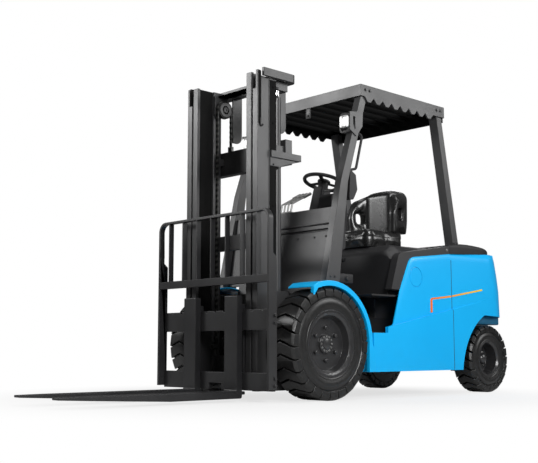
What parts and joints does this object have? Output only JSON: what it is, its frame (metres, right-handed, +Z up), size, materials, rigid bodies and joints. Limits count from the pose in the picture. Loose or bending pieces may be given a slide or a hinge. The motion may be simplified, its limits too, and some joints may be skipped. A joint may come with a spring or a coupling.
{
  "type": "electric counterbalance forklift",
  "caption": "Electric counterbalance forklift with a two-stage mast, hook-on forks, load backrest, slatted overhead guard, solid tyres and rear-wheel steering",
  "frame": {"origin": "on the ground under the middle of the whole truck, forks lowered", "axes": "+X forward along the forks, +Y to the operator's left, +Z up"},
  "size_m": [3.8374, 1.21, 2.124],
  "materials": {
    "body_blue": "gloss",
    "mast_black": "satin",
    "fork_black": "satin",
    "guard_black": "satin",
    "chassis_black": "satin",
    "battery_case": "satin",
    "moulded_black": "grained",
    "seat_black": "soft gloss",
    "lamp_plastic": "clear and black",
    "tyre": "matt",
    "rim_grey": "satin",
    "rod_chrome": "polished",
    "chain_steel": "oiled"
  },
  "bodies": {
    "truck": {"chassis_frame": "chassis_black", "drive_axle": "chassis_black", "steer_axle": "chassis_black", "battery_pack": "battery_case", "counterweight": "body_blue", "rear_cover": "moulded_black", "side_panel_left": "body_blue", "side_panel_right": "body_blue", "fender_left": "body_blue", "fender_right": "body_blue", "body_trim": "moulded_black", "floor_plate": "moulded_black", "front_cowl": "guard_black", "dashboard": "moulded_black", "steering_column": "moulded_black", "control_levers": "moulded_black", "pedals": "moulded_black", "overhead_guard": "guard_black", "guard_pillars": "guard_black", "lamps": "lamp_plastic", "grab_handle": "guard_black"},
    "hood": {"hood": "moulded_black", "seat_cushion": "seat_black", "seat_back": "seat_black"},
    "charge_flap": {"charge_flap": "body_blue"},
    "steering_wheel": {"steering_wheel": "moulded_black"},
    "wheel_front_left": {"tyre_front_left": "tyre", "rim_front_left": "rim_grey"},
    "wheel_front_right": {"tyre_front_right": "tyre", "rim_front_right": "rim_grey"},
    "wheel_rear_left": {"tyre_rear_left": "tyre", "rim_rear_left": "rim_grey"},
    "wheel_rear_right": {"tyre_rear_right": "tyre", "rim_rear_right": "rim_grey"},
    "knuckle_left": {"knuckle_left": "chassis_black"},
    "knuckle_right": {"knuckle_right": "chassis_black"},
    "mast_outer": {"outer_mast": "mast_black", "lift_barrels": "mast_black", "chain_rear_runs": "chain_steel"},
    "mast_inner": {"inner_mast": "mast_black", "lift_rods": "rod_chrome", "chain_pulleys": "chain_steel", "chain_front_runs": "chain_steel"},
    "carriage": {"carriage_frame": "mast_black", "load_backrest": "mast_black"},
    "fork_left": {"fork_left": "fork_black"},
    "fork_right": {"fork_right": "fork_black"},
    "tilt_barrel_left": {"tilt_barrel_left": "mast_black"},
    "tilt_barrel_right": {"tilt_barrel_right": "mast_black"},
    "tilt_rod_left": {"tilt_rod_left": "rod_chrome"},
    "tilt_rod_right": {"tilt_rod_right": "rod_chrome"}
  },
  "joints": [
    {"name": "front_left_spin", "type": "hinge", "parent": "truck", "child": "wheel_front_left", "pos_m": [0.18135, 0.494, 0.355], "axis": [0, 1, 0], "continuous": true},
    {"name": "front_right_spin", "type": "hinge", "parent": "truck", "child": "wheel_front_right", "pos_m": [0.18135, -0.494, 0.355], "axis": [0, 1, 0], "continuous": true},
    {"name": "steer_left", "type": "hinge", "parent": "truck", "child": "knuckle_left", "pos_m": [-1.58365, 0.385, 0.25], "axis": [0, 0, 1], "range_deg": [-70, 70]},
    {"name": "steer_right", "type": "hinge", "parent": "truck", "child": "knuckle_right", "pos_m": [-1.58365, -0.385, 0.25], "axis": [0, 0, 1], "range_deg": [-70, 70]},
    {"name": "rear_left_spin", "type": "hinge", "parent": "knuckle_left", "child": "wheel_rear_left", "pos_m": [-1.58365, 0.511, 0.25], "axis": [0, 1, 0], "continuous": true},
    {"name": "rear_right_spin", "type": "hinge", "parent": "knuckle_right", "child": "wheel_rear_right", "pos_m": [-1.58365, -0.511, 0.25], "axis": [0, 1, 0], "continuous": true},
    {"name": "steering_wheel_turn", "type": "hinge", "parent": "truck", "child": "steering_wheel", "pos_m": [-0.28865, 0.105, 1.505], "axis": [-0.2924, 0, 0.9563], "continuous": true},
    {"name": "mast_tilt", "type": "hinge", "parent": "truck", "child": "mast_outer", "pos_m": [0.18135, 0, 0.355], "axis": [0, 1, 0], "range_deg": [-10, 6]},
    {"name": "mast_lift", "type": "slide", "parent": "mast_outer", "child": "mast_inner", "axis": [0, 0, 1], "range_m": [0, 1.5], "deforming": ["chain_rear_runs"]},
    {"name": "carriage_lift", "type": "slide", "parent": "mast_inner", "child": "carriage", "axis": [0, 0, 1], "range_m": [0, 1.5], "deforming": ["chain_front_runs"]},
    {"name": "fork_left_shift", "type": "slide", "parent": "carriage", "child": "fork_left", "axis": [0, 1, 0], "range_m": [-0.13, 0.24]},
    {"name": "fork_right_shift", "type": "slide", "parent": "carriage", "child": "fork_right", "axis": [0, -1, 0], "range_m": [-0.13, 0.24]},
    {"name": "tilt_swing_left", "type": "hinge", "parent": "truck", "child": "tilt_barrel_left", "pos_m": [-0.23865, 0.23, 0.47], "axis": [0, 1, 0], "range_deg": [-3.5, 2.2]},
    {"name": "tilt_stroke_left", "type": "slide", "parent": "tilt_barrel_left", "child": "tilt_rod_left", "axis": [0.9468, 0, 0.3219], "range_m": [-0.045, 0.03]},
    {"name": "tilt_swing_right", "type": "hinge", "parent": "truck", "child": "tilt_barrel_right", "pos_m": [-0.23865, -0.23, 0.47], "axis": [0, 1, 0], "range_deg": [-3.5, 2.2]},
    {"name": "tilt_stroke_right", "type": "slide", "parent": "tilt_barrel_right", "child": "tilt_rod_right", "axis": [0.9468, 0, 0.3219], "range_m": [-0.045, 0.03]},
    {"name": "hood_open", "type": "hinge", "parent": "truck", "child": "hood", "pos_m": [-1.12465, 0, 1.068], "axis": [0, -1, 0], "range_deg": [0, 40]},
    {"name": "charge_flap_open", "type": "hinge", "parent": "truck", "child": "charge_flap", "pos_m": [-0.79165, 0.579, 0.825], "axis": [0, 0, 1], "range_deg": [0, 95]}
  ],
  "couplings": [
    {"joint": "steer_right", "follows": "steer_left", "ratio": 1},
    {"joint": "carriage_lift", "follows": "mast_lift", "ratio": 1},
    {"joint": "tilt_swing_left", "follows": "mast_tilt", "ratio": 0.31714},
    {"joint": "tilt_stroke_left", "follows": "mast_tilt", "m_per_rad": 0.24408},
    {"joint": "tilt_swing_right", "follows": "mast_tilt", "ratio": 0.31714},
    {"joint": "tilt_stroke_right", "follows": "mast_tilt", "m_per_rad": 0.24408}
  ]
}
